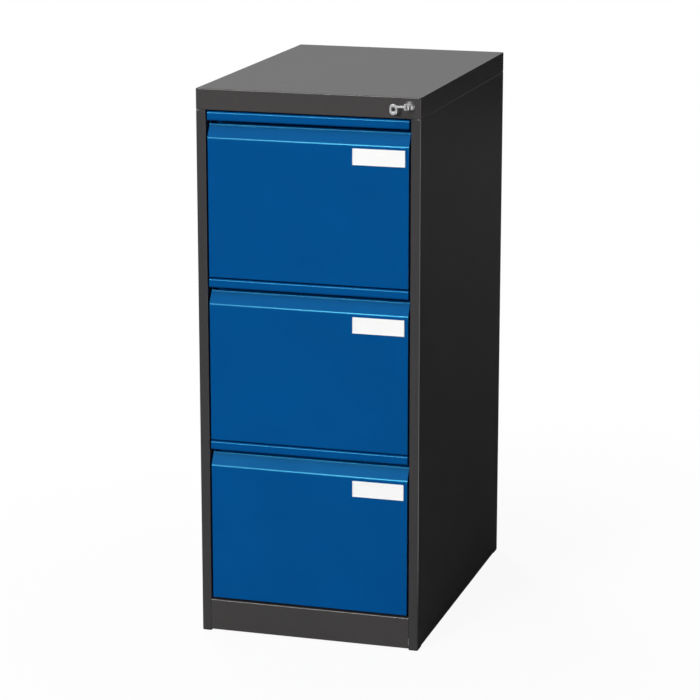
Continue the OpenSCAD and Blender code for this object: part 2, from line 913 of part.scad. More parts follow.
// Angle on the tray's right side whose tooth stops behind a lowered tab
module drawer_catch(n) {
    z = front_bottom(n) + catch_z;
    color(zinc) {
        block(
            [tray_x, tooth_y, z - tooth_h / 2],
            [tray_x + tooth_t, tooth_y + 18, z + tooth_h / 2]
        );
        block(
            [tray_x, tooth_y, z - tooth_h / 2],
            [front_x + 0.5, tooth_y + tooth_t, z + tooth_h / 2]
        );
    }
}

// Key, with a bow that folds flat

module key() {
    blade_t = keyway_w - 0.4;
    blade_h = keyway_h - 0.6;
    color(chrome) difference() {
        union() {
            block(
                [axis_x - blade_t / 2, key_face, axis_z - blade_h / 2],
                [axis_x + blade_t / 2, key_face + 24, axis_z + blade_h / 2]
            );
            block(
                [axis_x - blade_t / 2, hinge_y, axis_z - eye_h / 2],
                [axis_x + blade_t / 2, key_face + weld, axis_z + eye_h / 2]
            );
            translate([axis_x, hinge_y, axis_z - eye_h / 2])
                cylinder(h = eye_h, r = hinge_r, $fn = 48);
        }
        translate([axis_x, hinge_y, axis_z - eye_h])
            cylinder(h = 2 * eye_h, r = hinge_pin_r + running, $fn = 32);
    }
}

// Bow folded to the left: two ears on a pin, an arm and an oval
module key_bow() {
    arm_h = 4;
    ears_h = eye_h + 2 * (fit + ear_h);
    arm_x = axis_x - hinge_r - 1;
    y0 = hinge_y - bow_t / 2;
    color([0.6, 0.6, 0.6]) difference() {
        union() {
            for (s = [-1, 1])
                translate([axis_x, hinge_y, axis_z + s * (eye_h / 2 + fit + ear_h / 2)]) {
                    cylinder(h = ear_h, r = hinge_r, center = true, $fn = 48);
                    translate([-hinge_r - 2, -bow_t / 2, -ear_h / 2])
                        cube([hinge_r + 2, bow_t, ear_h]);
                }
            translate([axis_x, hinge_y, axis_z - ears_h / 2])
                cylinder(h = ears_h, r = hinge_pin_r, $fn = 32);
            block(
                [bow_x, y0, axis_z - arm_h / 2],
                [arm_x, y0 + bow_t, axis_z + arm_h / 2]
            );
            block(
                [arm_x - 3, y0, axis_z - ears_h / 2],
                [arm_x, y0 + bow_t, axis_z + ears_h / 2]
            );
            for (s = [-1, 1])
                translate([bow_x, y0, bow_z + s * (bow_ring - bow_w) / 2]) rotate([-90, 0, 0])
                    cylinder(h = bow_t, d = bow_w, $fn = 64);
            block(
                [bow_x - bow_w / 2, y0, bow_z - (bow_ring - bow_w) / 2],
                [bow_x + bow_w / 2, y0 + bow_t, bow_z + (bow_ring - bow_w) / 2]
            );
        }
        translate([bow_x, y0 - 1, bow_z]) rotate([-90, 0, 0])
            cylinder(h = bow_t + 2, d = bow_hole, $fn = 48);
    }
}

top_cover();
left_side_panel();
right_side_panel();
back_panel();
base_pan();
plinth();
front_left_upright();
front_right_upright();
rear_left_upright();
rear_right_upright();
feet();
lock_housing();
lock_nut();
lock_plug();
lock_cam();
cam_screw();
lock_bar();
lock_bar_tabs();
lock_bar_guides();
key();
key_bow();
for (n = [1:drawer_n]) {
    drawer = str("drawer_", n, "_");
    drawer_front(n);
    drawer_top_rail(n);
    drawer_inner_front(n);
    drawer_tray(n);
    drawer_back(n);
    label_holder(n);
    label_card(n);
    drawer_catch(n);
    runner_inner(n);
    inner_balls(n);
    runner_middle(n);
    outer_balls(n);
    runner_outer(n);
}
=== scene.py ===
"""Looks of a three-drawer hanging file cabinet in folded, powder-coated steel.

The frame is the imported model: X to the right seen from the front, Y to the back, Z up, in metres.
The outer sheets are folded again here with finer bends, and every surface gets its material.
"""

import json
import math

import bmesh
import bpy
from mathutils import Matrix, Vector


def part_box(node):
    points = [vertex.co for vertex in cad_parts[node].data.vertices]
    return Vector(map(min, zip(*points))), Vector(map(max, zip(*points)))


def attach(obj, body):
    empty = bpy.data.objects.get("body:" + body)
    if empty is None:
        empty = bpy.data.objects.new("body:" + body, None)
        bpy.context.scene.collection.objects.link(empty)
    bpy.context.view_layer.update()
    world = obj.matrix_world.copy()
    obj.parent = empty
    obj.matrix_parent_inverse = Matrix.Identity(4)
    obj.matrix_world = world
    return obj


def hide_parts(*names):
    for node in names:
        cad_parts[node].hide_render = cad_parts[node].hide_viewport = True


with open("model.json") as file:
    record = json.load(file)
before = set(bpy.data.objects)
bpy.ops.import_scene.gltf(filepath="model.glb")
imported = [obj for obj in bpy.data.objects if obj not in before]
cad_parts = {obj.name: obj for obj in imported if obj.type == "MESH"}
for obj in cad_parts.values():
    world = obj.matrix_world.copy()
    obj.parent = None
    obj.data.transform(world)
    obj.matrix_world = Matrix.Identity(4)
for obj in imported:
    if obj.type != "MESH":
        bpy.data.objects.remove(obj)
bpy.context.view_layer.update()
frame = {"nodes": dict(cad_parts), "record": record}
scene = bpy.context.scene
MM = 0.001

# Camera, at the photograph's angle

CAMERA_AT = (1.4024, -4.7840, 1.7143)
CAMERA_YAW = 0.2872
CAMERA_PITCH = 0.2428
CAMERA_LENS = 138.56


def make_camera():
    data = bpy.data.cameras.new("camera")
    data.lens = CAMERA_LENS
    data.sensor_width = 36
    camera = bpy.data.objects.new("camera", data)
    camera.location = CAMERA_AT
    camera.rotation_euler = (math.pi / 2 - CAMERA_PITCH, 0, CAMERA_YAW)
    scene.collection.objects.link(camera)
    scene.camera = camera


make_camera()

# Sizes, from the frame and from the way the sheets are folded

DRAWERS = (1, 2, 3)
side_low, side_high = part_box("right_side_panel")
OPENING_X = side_low.x
SIDE_X = side_high.x
FRONT_Y = side_low.y
BACK_Y = side_high.y
FOOT_H = side_low.z
SIDE_TOP = side_high.z
CABINET_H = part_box("top_cover")[1].z
SKIN = 0.8 * MM
CORNER_R = 3 * MM
EDGE_R = 1.6 * MM
COVER_FOLD = 12 * MM
STILE_D = 28 * MM
REAR_FOLD = 15 * MM
PLINTH_FOLD = 14 * MM
FOOT_ROUND = 0.6
SEAT = 0.3 * MM
BEND_STEPS = 10

# Small lengths of the method: past a face for a cutter, out of one plane, least radius, merging

PAST = 1 * MM
HAIR = 0.005 * MM
LEAST_R = 0.05 * MM
MERGE = 1e-7

# Angles between faces: smooth shading below the first, a bevel above the second

SMOOTH_BELOW = math.radians(35)
EASE_ABOVE = math.radians(50)

# Plane geometry of folded sheets


def turned(v, angle):
    """v turned by angle, in its plane."""
    c, s = math.cos(angle), math.sin(angle)
    return Vector((v.x * c - v.y * s, v.x * s + v.y * c))


def bend(before, corner, after, radius, offset):
    """Points of one bend, set off sideways from the sheet's middle line."""
    along = (corner - before).normalized()
    onward = (after - corner).normalized()
    angle = math.atan2(along.x * onward.y - along.y * onward.x, along.dot(onward))
    side = math.copysign(1, angle)
    across = Vector((-along.y, along.x))
    centre = corner - along * radius * math.tan(abs(angle) / 2) + across * side * radius
    arm = -across * side * (radius - side * offset)
    count = max(3, round(abs(angle) / (math.pi / 2) * BEND_STEPS))
    return [centre + turned(arm, angle * k / count) for k in range(count + 1)]


def sheet_outline(path, radii, thickness):
    """Closed outline of a sheet whose middle line follows path, with a radius at each bend."""
    path = [Vector(p) for p in path]

    def face(offset):
        start = (path[1] - path[0]).normalized()
        end = (path[-1] - path[-2]).normalized()
        points = [path[0] + Vector((-start.y, start.x)) * offset]
        for i, radius in enumerate(radii):
            points += bend(path[i], path[i + 1], path[i + 2], radius, offset)
        return points + [path[-1] + Vector((-end.y, end.x)) * offset]

    return face(thickness / 2) + face(-thickness / 2)[::-1]


def rounded_rect(low, high, radii):
    """Outline with its own radius at the lower left, lower right, upper right and upper left."""
    corners = [(low[0], low[1]), (high[0], low[1]), (high[0], high[1]), (low[0], high[1])]
    inward = [(1, 1), (-1, 1), (-1, -1), (1, -1)]
    points = []
    for i, (corner, way, radius) in enumerate(zip(corners, inward, radii)):
        centre = Vector(corner) + Vector(way) * radius
        if radius == 0:
            points.append(centre)
            continue
        for k in range(BEND_STEPS + 1):
            angle = math.pi + (i + k / BEND_STEPS) * math.pi / 2
            points.append(centre + Vector((math.cos(angle), math.sin(angle))) * radius)
    return points


# Meshes


def piece(name, bm):
    """A new object from a bmesh."""
    bmesh.ops.remove_doubles(bm, verts=bm.verts, dist=MERGE)
    bmesh.ops.recalc_face_normals(bm, faces=bm.faces)
    mesh = bpy.data.meshes.new(name)
    bm.to_mesh(mesh)
    bm.free()
    obj = bpy.data.objects.new(name, mesh)
    scene.collection.objects.link(obj)
    return obj


def prism(name, outline, axis, low, high):
    """Outline extruded along x (outline in y, z) or z (outline in x, y)."""
    place = {
        "x": lambda p, t: (t, p[0], p[1]),
        "z": lambda p, t: (p[0], p[1], t),
    }[axis]
    bm = bmesh.new()
    ends = [[bm.verts.new(place(p, t)) for p in outline] for t in (low, high)]
    for ring in ends:
        bm.faces.new(ring)
    for i in range(len(outline)):
        j = (i + 1) % len(outline)
        bm.faces.new((ends[0][i], ends[0][j], ends[1][j], ends[1][i]))
    return piece(name, bm)


def block(name, low, high):
    return prism(name, rounded_rect(low[:2], high[:2], [0] * 4), "z", low[2], high[2])


def edge_levels(radius):
    """(distance from the flat face, inset) of each step round an edge, from the side inwards."""
    angles = [math.pi / 2 * k / BEND_STEPS for k in range(BEND_STEPS + 1 if radius else 1)]
    return [(radius * (1 - math.sin(a)), radius * (1 - math.cos(a))) for a in angles]


def rounded_block(name, low, high, corner, top, bottom):
    """Box with rounded upright corners, top edges and bottom edges."""
    levels = [(low[2] + rise, inset) for rise, inset in edge_levels(bottom)[::-1]]
    levels += [(high[2] - drop, inset) for drop, inset in edge_levels(top)]
    bm = bmesh.new()
    rings = []
    for z, inset in levels:
        radius = max(corner - inset, LEAST_R)
        outline = rounded_rect(
            (low[0] + inset, low[1] + inset), (high[0] - inset, high[1] - inset), [radius] * 4
        )
        rings.append([bm.verts.new((p[0], p[1], z)) for p in outline])
    bm.faces.new(rings[0])
    bm.faces.new(rings[-1])
    for lower, upper in zip(rings, rings[1:]):
        for i in range(len(lower)):
            j = (i + 1) % len(lower)
            bm.faces.new((lower[i], lower[j], upper[j], upper[i]))
    return piece(name, bm)


def turned_solid(name, profile, centre, axis="y", steps=64):
    """Profile of (place along the axis, radius) points turned about a line along y or z."""
    place = {
        "y": lambda t, r, a: (centre.x + r * math.cos(a), t, centre.z + r * math.sin(a)),
        "z": lambda t, r, a: (centre.x + r * math.cos(a), centre.y + r * math.sin(a), t),
    }[axis]
    bm = bmesh.new()
    rings = []
    for t, radius in profile:
        count = steps if radius else 1
        rings.append([bm.verts.new(place(t, radius, math.tau * k / steps)) for k in range(count)])
    for a, b in zip(rings, rings[1:]):
        for k in range(steps):
            n = (k + 1) % steps
            if len(a) == 1:
                bm.faces.new((a[0], b[k], b[n]))
            elif len(b) == 1:
                bm.faces.new((a[k], a[n], b[0]))
            else:
                bm.faces.new((a[k], a[n], b[n], b[k]))
    return piece(name, bm)


def applied(obj):
    """The object with its modifiers made part of its mesh."""
    graph = bpy.context.evaluated_depsgraph_get()
    mesh = bpy.data.meshes.new_from_object(obj.evaluated_get(graph))
    obj.modifiers.clear()
    obj.data = mesh
    return obj


def combined(obj, other, operation):
    """obj joined with, cut by or kept inside other, which is then removed."""
    modifier = obj.modifiers.new("combine", "BOOLEAN")
    modifier.object = other
    modifier.operation = operation
    modifier.solver = "EXACT"
    applied(obj)
    bpy.data.objects.remove(other)
    return obj


def added(obj, other):
    return combined(obj, other, "UNION")


def cut(obj, other):
    return combined(obj, other, "DIFFERENCE")


def finished(obj):
    """Smooth bends between flat faces, from normals that follow the larger faces."""
    obj.data.shade_smooth()
    obj.data.set_sharp_from_angle(angle=SMOOTH_BELOW)
    modifier = obj.modifiers.new("normals", "WEIGHTED_NORMAL")
    modifier.keep_sharp = True
    modifier.weight = 100
    return applied(obj)


def eased(obj, width, segments=3):
    """Sharp edges rounded to width."""
    modifier = obj.modifiers.new("ease", "BEVEL")
    modifier.width = width
    modifier.segments = segments
    modifier.limit_method = "ANGLE"
    modifier.angle_limit = EASE_ABOVE
    return applied(obj)


# Shader nodes

NOISE_RANGE = (0.3, 0.7)
MIX_A, MIX_B, MIX_RESULT = 6, 7, 2


def linked(tree, kind, inputs, **settings):
    """A new node of a tree, with its settings, and with values and sockets in its inputs."""
    node = tree.nodes.new(kind)
    for key, value in settings.items():
        setattr(node, key, value)
    for key, value in inputs.items():
        if isinstance(value, bpy.types.NodeSocket):
            tree.links.new(value, node.inputs[key])
        else:
            node.inputs[key].default_value = value
    return node


def math_node(tree, operation, first, second):
    return linked(tree, "ShaderNodeMath", {0: first, 1: second}, operation=operation).outputs[0]


def mixed(tree, share, first, second):
    """A mix of two shader nodes: the first where share is 0, the second where it is 1."""
    inputs = {0: share, 1: first.outputs[0], 2: second.outputs[0]}
    return linked(tree, "ShaderNodeMixShader", inputs)


def ramp(tree, socket, start, end, low=0.0, high=1.0):
    """A socket's values from start to end mapped to low..high."""
    inputs = {"Value": socket, "From Min": start, "From Max": end, "To Min": low, "To Max": high}
    return linked(tree, "ShaderNodeMapRange", inputs).outputs["Result"]


def product(tree, first, *others):
    for other in others:
        first = math_node(tree, "MULTIPLY", first, other)
    return first


def parts_of(tree, vector):
    return linked(tree, "ShaderNodeSeparateXYZ", {"Vector": vector}).outputs


# Materials


class Shader:
    """A Principled material whose textures follow the object's own coordinates."""

    def __init__(self, name):
        self.material = bpy.data.materials.new(name)
        self.material.use_nodes = True
        self.tree = self.material.node_tree
        self.bsdf = self.tree.nodes["Principled BSDF"]
        self.place = self.tree.nodes.new("ShaderNodeTexCoord").outputs["Object"]

    def value(self, key, value):
        self.bsdf.inputs[key].default_value = value

    def link(self, key, socket):
        self.tree.links.new(socket, self.bsdf.inputs[key])

    def noise(self, scale, detail=3, roughness=0.5, stretch=(1, 1, 1)):
        """Noise whose grains are about 1 / scale metres across."""
        place = linked(self.tree, "ShaderNodeMapping", {"Vector": self.place, "Scale": stretch})
        inputs = {
            "Vector": place.outputs["Vector"],
            "Scale": scale,
            "Detail": detail,
            "Roughness": roughness,
        }
        return linked(self.tree, "ShaderNodeTexNoise", inputs).outputs["Fac"]

    def spread(self, noise, low, high):
        """The values that a noise mostly takes mapped to low..high."""
        return ramp(self.tree, noise, *NOISE_RANGE, low, high)

    def colour(self, base, factor, contrast=0.1):
        """Base colour, darker where factor is 0 and lighter where it is 1."""
        dark = [c * (1 - contrast) for c in base] + [1]
        light = [min(1, c * (1 + contrast)) for c in base] + [1]
        inputs = {0: factor, MIX_A: dark, MIX_B: light}
        mix = linked(self.tree, "ShaderNodeMix", inputs, data_type="RGBA")
        self.link("Base Color", mix.outputs[MIX_RESULT])

    def bump(self, *layers):
        """layers of (height socket, distance in metres, strength)."""
        normal = None
        for height, distance, strength in layers:
            inputs = {"Height": height, "Distance": distance, "Strength": strength}
            if normal:
                inputs["Normal"] = normal
            normal = linked(self.tree, "ShaderNodeBump", inputs).outputs["Normal"]
        self.link("Normal", normal)


# Grains per metre of the textures

SHEET_WAVE = 5
PAINT_CLOUDS = 9
HAND_MARKS = 26
ORANGE_PEEL = 650
PAINT_SPECKS = 1400
FINE_GRAIN = 2600
ZINC_CLOUDS = 60
ZINC_STREAKS = 900
ZINC_GRAIN = 300
PLATE_CLOUDS = 200
PLATE_WAVE = 500
SCRATCHES = 2200
PLASTIC_CLOUDS = 40
PLASTIC_WEAR = 120
FIBRES = 1500

# Refraction, and the ways in which textures are drawn out

PAINT_IOR = 1.5
PLASTIC_IOR = 1.46
ALONG_DEPTH = (1, 0.03, 1)
ALONG_HEIGHT = (1, 1, 0.05)
UPRIGHT = (1, 1, 1.6)
LYING = (0.4, 1, 1)


def powder_coat(name, base, roughness, specular, shine=(1, 1, 1)):
    """Baked powder paint on sheet steel: a fine orange peel over slightly uneven sheet."""
    s = Shader(name)
    s.value("IOR", PAINT_IOR)
    s.value("Specular IOR Level", specular)
    s.value("Specular Tint", (*shine, 1))
    clouds = s.spread(s.noise(PAINT_CLOUDS, detail=4, roughness=0.6), 0, 0.7)
    specks = s.spread(s.noise(PAINT_SPECKS, detail=1), 0, 0.3)
    s.colour(base, math_node(s.tree, "ADD", clouds, specks), contrast=0.06)
    hands = s.noise(HAND_MARKS, detail=5, roughness=0.65, stretch=UPRIGHT)
    s.link("Roughness", s.spread(hands, roughness - 0.02, roughness + 0.03))
    s.bump(
        (s.noise(SHEET_WAVE, detail=1), 0.0003, 0.15),
        (s.noise(ORANGE_PEEL, detail=2, roughness=0.45), 0.00003, 0.22),
        (s.noise(FINE_GRAIN, detail=1), 0.00001, 0.2),
    )
    return s.material


def plated_steel(name, base, roughness):
    """Zinc plate on rolled steel: long drawn streaks and a cloudy shine."""
    s = Shader(name)
    s.value("Metallic", 1.0)
    streaks = s.noise(ZINC_STREAKS, detail=3, stretch=ALONG_DEPTH)
    s.colour(base, s.spread(s.noise(ZINC_CLOUDS, detail=3), 0, 1))
    s.link("Roughness", s.spread(streaks, roughness - 0.06, roughness + 0.08))
    s.bump((streaks, 0.00003, 0.3), (s.noise(ZINC_GRAIN, detail=2), 0.00005, 0.15))
    return s.material


def bright_plate(name, base, roughness):
    """Bright plate or polished steel, with hairline scratches."""
    s = Shader(name)
    s.value("Metallic", 1.0)
    s.colour(base, s.spread(s.noise(PLATE_CLOUDS, detail=2), 0, 1), contrast=0.05)
    scratches = s.noise(SCRATCHES, detail=2, stretch=ALONG_HEIGHT)
    s.link("Roughness", s.spread(scratches, roughness - 0.03, roughness + 0.07))
    s.bump((scratches, 0.00001, 0.3), (s.noise(PLATE_WAVE), 0.00003, 0.15))
    return s.material


def moulded_plastic(name, base, roughness, grain, depth):
    """Injection-moulded plastic with a fine eroded grain."""
    s = Shader(name)
    s.value("IOR", PLASTIC_IOR)
    s.colour(base, s.spread(s.noise(PLASTIC_CLOUDS, detail=3), 0, 1), contrast=0.03)
    wear = s.noise(PLASTIC_WEAR, detail=3)
    s.link("Roughness", s.spread(wear, roughness - 0.05, roughness + 0.06))
    s.bump((s.noise(grain, detail=2), depth, 0.4))
    return s.material


def paper_card(name, base):
    """Uncoated white card with short fibres."""
    s = Shader(name)
    s.value("Specular IOR Level", 0.2)
    fibres = s.noise(FIBRES, detail=4, roughness=0.7, stretch=LYING)
    s.colour(base, s.spread(fibres, 0.2, 0.8), contrast=0.03)
    s.link("Roughness", s.spread(fibres, 0.72, 0.9))
    s.bump((fibres, 0.00004, 0.35))
    return s.material


CHARCOAL = (0.0565, 0.0535, 0.0525)
# The second charcoal is the first made darker: painted shade for the side panels, whose outer faces
# turn away from the lamps. The inside paint takes the same darker tone.
SHADED_CHARCOAL = (0.05, 0.0475, 0.049)
BLUE = (0.0001, 0.074, 0.272)
BLUE_SHINE = (0.15, 0.8, 1.0)
LABEL_WHITE = (0.92, 0.92, 0.92)
CARD_WHITE = (0.95, 0.95, 0.94)
ZINC = (0.60, 0.61, 0.62)
STEEL = (0.72, 0.72, 0.73)
CHROME = (0.66, 0.66, 0.67)
FOOT_BLACK = (0.012, 0.012, 0.012)

materials = {
    "charcoal_paint": powder_coat("charcoal_paint", CHARCOAL, roughness=0.23, specular=0.5),
    # Side panels, stiles included: the darker charcoal, which is painted shade on the same paint as
    # the lid.
    "side_paint": powder_coat("side_paint", SHADED_CHARCOAL, roughness=0.23, specular=0.5),
    "inner_paint": powder_coat("inner_paint", SHADED_CHARCOAL, roughness=0.5, specular=0.4),
    "blue_paint": powder_coat("blue_paint", BLUE, 0.22, 0.5, BLUE_SHINE),
    "label_plastic": moulded_plastic(
        "label_plastic", LABEL_WHITE, roughness=0.35, grain=900, depth=0.00002
    ),
    "label_card": paper_card("label_card", CARD_WHITE),
    "zinc_plate": plated_steel("zinc_plate", ZINC, roughness=0.36),
    "ball_steel": bright_plate("ball_steel", STEEL, roughness=0.12),
    "foot_plastic": moulded_plastic(
        "foot_plastic", FOOT_BLACK, roughness=0.55, grain=1200, depth=0.00008
    ),
    "chrome": bright_plate("chrome", CHROME, roughness=0.4),
}
slot_of = {part["node"]: part["material_slot"] for part in frame["record"]["subparts"]}
body_of = {
    node: body
    for body, nodes in frame["record"]["behaviour"]["bodies"].items()
    for node in nodes
}

for name, node in frame["nodes"].items():
    if not node.material_slots:
        node.data.materials.append(materials[slot_of[name]])
    for material_slot in node.material_slots:
        material_slot.material = materials[slot_of[name]]


def stands_for(obj, node):
    """obj takes a node's place, with its body, slot and material."""
    obj.data.materials.clear()
    obj.data.materials.append(materials[slot_of[node]])
    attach(obj, body_of[node])
    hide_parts(node)


# Cabinet shell

lock_low, lock_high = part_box("lock_housing")
LOCK = (lock_low + lock_high) / 2
LOCK_BODY_R = 8 * MM


def make_cover():
    """Shallow lid with rounded edges, folded in all round its lower edge and bored for the lock."""
    cover = rounded_block(
        "cover",
        (-SIDE_X, FRONT_Y, SIDE_TOP),
        (SIDE_X, BACK_Y, CABINET_H),
        CORNER_R,
        EDGE_R,
        EDGE_R,
    )
    inside = block(
        "inside",
        (-SIDE_X + SKIN, FRONT_Y + SKIN, SIDE_TOP + SKIN),
        (SIDE_X - SKIN, BACK_Y - SKIN, CABINET_H - SKIN),
    )
    inset = SKIN + COVER_FOLD
    mouth = block(
        "mouth",
        (-SIDE_X + inset, FRONT_Y + inset, SIDE_TOP - PAST),
        (SIDE_X - inset, BACK_Y - inset, SIDE_TOP + 2 * PAST),
    )
    ends = (FRONT_Y - PAST, FRONT_Y + 2 * PAST)
    bore_profile = [(ends[0], 0), (ends[0], LOCK_BODY_R), (ends[1], LOCK_BODY_R), (ends[1], 0)]
    bore = turned_solid("bore", bore_profile, LOCK)
    return finished(cut(cut(cut(cover, inside), mouth), bore))


def make_side_panel(name, side):
    """Side panel: box fold at the front, return at the back, folds at the top."""
    half = SKIN / 2
    path = [
        (SIDE_X - SKIN - SEAT, FRONT_Y + STILE_D - half),
        (OPENING_X + half, FRONT_Y + STILE_D - half),
        (OPENING_X + half, FRONT_Y + half),
        (SIDE_X - half, FRONT_Y + half),
        (SIDE_X - half, BACK_Y - half),
        (SIDE_X - REAR_FOLD, BACK_Y - half),
    ]
    radii = [EDGE_R - half, EDGE_R - half, CORNER_R - half, CORNER_R - half]
    outline = [(side * p.x, p.y) for p in sheet_outline(path, radii, SKIN)]
    panel = prism(name, outline, "z", FOOT_H, SIDE_TOP)

    def top_fold(x0, x1, y0, y1):
        near, far = sorted((side * x0, side * x1))
        return block("fold", (near, y0, SIDE_TOP - SKIN), (far, y1, SIDE_TOP))

    outer_x = SIDE_X - half
    stile_back = FRONT_Y + STILE_D
    added(panel, top_fold(SIDE_X - SKIN - COVER_FOLD, outer_x, stile_back - half, BACK_Y - half))
    added(panel, top_fold(OPENING_X + half, outer_x, FRONT_Y + half, stile_back))
    envelope = rounded_block(
        "envelope",
        (-SIDE_X - HAIR, FRONT_Y - HAIR, FOOT_H - PAST),
        (SIDE_X + HAIR, BACK_Y + HAIR, SIDE_TOP),
        CORNER_R,
        EDGE_R,
        0,
    )
    return finished(combined(panel, envelope, "INTERSECT"))


def make_kick_plate():
    """Plinth between the stiles, folded back over the floor sheet."""
    low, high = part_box("plinth")
    half = SKIN / 2
    path = [
        (low.y + half + PLINTH_FOLD, low.z + half),
        (low.y + half, low.z + half),
        (low.y + half, high.z - half),
        (high.y - half, high.z - half),
        (high.y - half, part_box("base_pan")[1].z),
    ]
    outline = sheet_outline(path, [EDGE_R - half, EDGE_R, EDGE_R - half], SKIN)
    return finished(prism("kick_plate", outline, "x", low.x, high.x))


def make_feet():
    """Four glides: a pad with a rounded rim, and a stem up inside the folds."""
    feet = None
    for side in (-1, 1):
        for y in (FRONT_Y, BACK_Y - STILE_D):
            x = OPENING_X if side > 0 else -SIDE_X
            far_x, far_y = x + SIDE_X - OPENING_X, y + STILE_D
            foot = rounded_block(
                "glides", (x, y, 0), (far_x, far_y, FOOT_H), CORNER_R, 0, FOOT_H * FOOT_ROUND
            )
            stem = block(
                "stem",
                (x + CORNER_R, y + CORNER_R, FOOT_H - SKIN / 4),
                (far_x - CORNER_R, far_y - CORNER_R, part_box("feet")[1].z),
            )
            added(foot, stem)
            feet = added(feet, foot) if feet else foot
    return finished(feet)


stands_for(make_cover(), "top_cover")
stands_for(make_side_panel("panel_left", -1), "left_side_panel")
stands_for(make_side_panel("panel_right", 1), "right_side_panel")
stands_for(make_kick_plate(), "plinth")
stands_for(make_feet(), "feet")

# Drawer fronts

FRONT_T = 0.8 * MM
HOOD_H = 14.5 * MM
HOOD_R = 3 * MM
HOOD_IN = 3 * MM
LIP_IN = 12 * MM
LIP_FOLD = 9 * MM
LIP_DROP = 23.5 * MM
LIP_RISE = 2.5 * MM
LIP_R = 1.2 * MM
LIP_ROLL = 3.2 * MM
CREASE_DROP = 48 * MM
CREASE_R = 12 * MM
SCOOP_FACE_DROP = CREASE_DROP + 14 * MM
SCOOP_BACK_DROP = LIP_DROP + 12 * MM
LIP_GAP = 1 * MM
CREASE_GAP = 2 * MM
PLATE_LAP = 1 * MM
HOOD_FOLD_R = 3.5 * MM
SCOOP_R = 8 * MM
ROOT_R = 2 * MM
PLATE_EASE = 0.15 * MM
LABEL_EASE = 0.25 * MM


def end_plates(outline, x):
    """The same flat plate at both ends of a drawer's front."""
    plates = prism("plates", outline, "x", x - FRONT_T, x)
    return added(plates, prism("plate", outline, "x", -x, -x + FRONT_T))


def make_front(n):
    """Outer sheet of drawer n: face, slope and pull lip, with a return below and at each end."""
    low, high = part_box(f"drawer_{n}_front")
    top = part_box(f"drawer_{n}_top_rail")[1].z
    half = FRONT_T / 2
    face, back = low.y + half, high.y
    lip = low.y + LIP_IN + half
    path = [
        (back, low.z + half),
        (face, low.z + half),
        (face, top - CREASE_DROP),
        (lip, top - LIP_DROP - LIP_RISE),
        (lip, top - LIP_DROP),
        (lip + LIP_ROLL, top - LIP_DROP),
        (lip + LIP_ROLL, top - LIP_DROP - LIP_FOLD),
    ]
    radii = [EDGE_R, CREASE_R, LIP_R, LIP_ROLL / 2, LIP_ROLL / 2]
    outline = sheet_outline(path, radii, FRONT_T)
    front = prism(f"front_{n}", outline, "x", low.x, high.x)
    plates = end_plates(
        [
            (low.y + half, low.z),
            (back, low.z),
            (back, top - SCOOP_BACK_DROP - FRONT_T - SEAT),
            (low.y + half, top - SCOOP_FACE_DROP - FRONT_T - SEAT),
        ],
        high.x,
    )
    added(front, plates)
    inside = rounded_block(
        "inside",
        (low.x - HAIR, low.y - HAIR, low.z - HAIR),
        (high.x + HAIR, high.y + 2 * EDGE_R, top),
        EDGE_R,
        0,
        0,
    )
    return finished(combined(front, inside, "INTERSECT"))


def make_rail(n):
    """Inner sheet of drawer n: hood, top, back wall and scoop, with a plate at each end."""
    low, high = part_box(f"drawer_{n}_top_rail")
    half = FRONT_T / 2
    front = low.y
    face, back, top = front + half, high.y - half, high.z
    root = front + FRONT_T + half
    path = [
        (front + HOOD_IN, top - HOOD_H - HOOD_IN / 2),
        (face, top - HOOD_H),
        (face, top - half),
        (back, top - half),
        (back, top - SCOOP_BACK_DROP),
        (root, top - SCOOP_FACE_DROP),
        (root, low.z),
    ]
    radii = [HOOD_FOLD_R, HOOD_R, EDGE_R, SCOOP_R, ROOT_R]
    outline = sheet_outline(path, radii, FRONT_T)
    rail = prism(f"rail_{n}", outline, "x", low.x, high.x)
    for side in (-1, 1):
        near, far = sorted((side * (high.x - FRONT_T - SEAT), side * (high.x + PAST)))
        notch = block(
            "notch",
            (near, front, low.z - PAST),
            (far, root + half + SEAT, top - SCOOP_FACE_DROP),
        )
        cut(rail, notch)
    under_lip = top - LIP_DROP - LIP_FOLD - LIP_GAP
    plate_y = front + LIP_IN + LIP_ROLL + FRONT_T + SEAT
    rise = (CREASE_DROP - LIP_DROP - LIP_RISE) / LIP_IN
    slope_clearance = (half + SEAT) * math.hypot(1, 1 / rise)
    slope_y = face + (under_lip - top + CREASE_DROP) / rise + slope_clearance
    plates = end_plates(
        [
            (root, top - SCOOP_FACE_DROP),
            (root, top - CREASE_DROP - CREASE_GAP),
            (slope_y, under_lip),
            (plate_y, under_lip),
            (plate_y, top - half),
            (back, top - half),
            (back, top - SCOOP_BACK_DROP - PLATE_LAP),
        ],
        high.x,
    )
    return finished(eased(added(rail, plates), PLATE_EASE, 2))


def make_label(n):
    """Label holder: a shallow tray open at the top, with rounded lips."""
    low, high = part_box(f"drawer_{n}_label_holder")
    card_low, card_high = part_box(f"drawer_{n}_label_card")
    lip = card_low.z - low.z
    holder = block(f"label_{n}", low, high)
    pocket = block(
        "pocket",
        (low.x + lip, low.y - PAST, low.z + lip),
        (high.x - lip, card_high.y, high.z + PAST),
    )
    return finished(eased(cut(holder, pocket), LABEL_EASE, 2))


for n in DRAWERS:
    stands_for(make_front(n), f"drawer_{n}_front")
    stands_for(make_rail(n), f"drawer_{n}_top_rail")
    stands_for(make_label(n), f"drawer_{n}_label_holder")

# Lock and key

PLUG_R = 6 * MM
RUNNING = 0.05 * MM
key_low, key_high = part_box("key")
bow_low, bow_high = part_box("key_bow")
HINGE = Vector((LOCK.x, (bow_low.y + bow_high.y) / 2, LOCK.z))
HINGE_R = HINGE.y - key_low.y
PIN_R = 1 * MM
EYE_H = 5 * MM
NECK_EASE = 0.2 * MM
ARM_EASE = 0.3 * MM
YOKE_GAP = 1 * MM
YOKE_W = 3 * MM


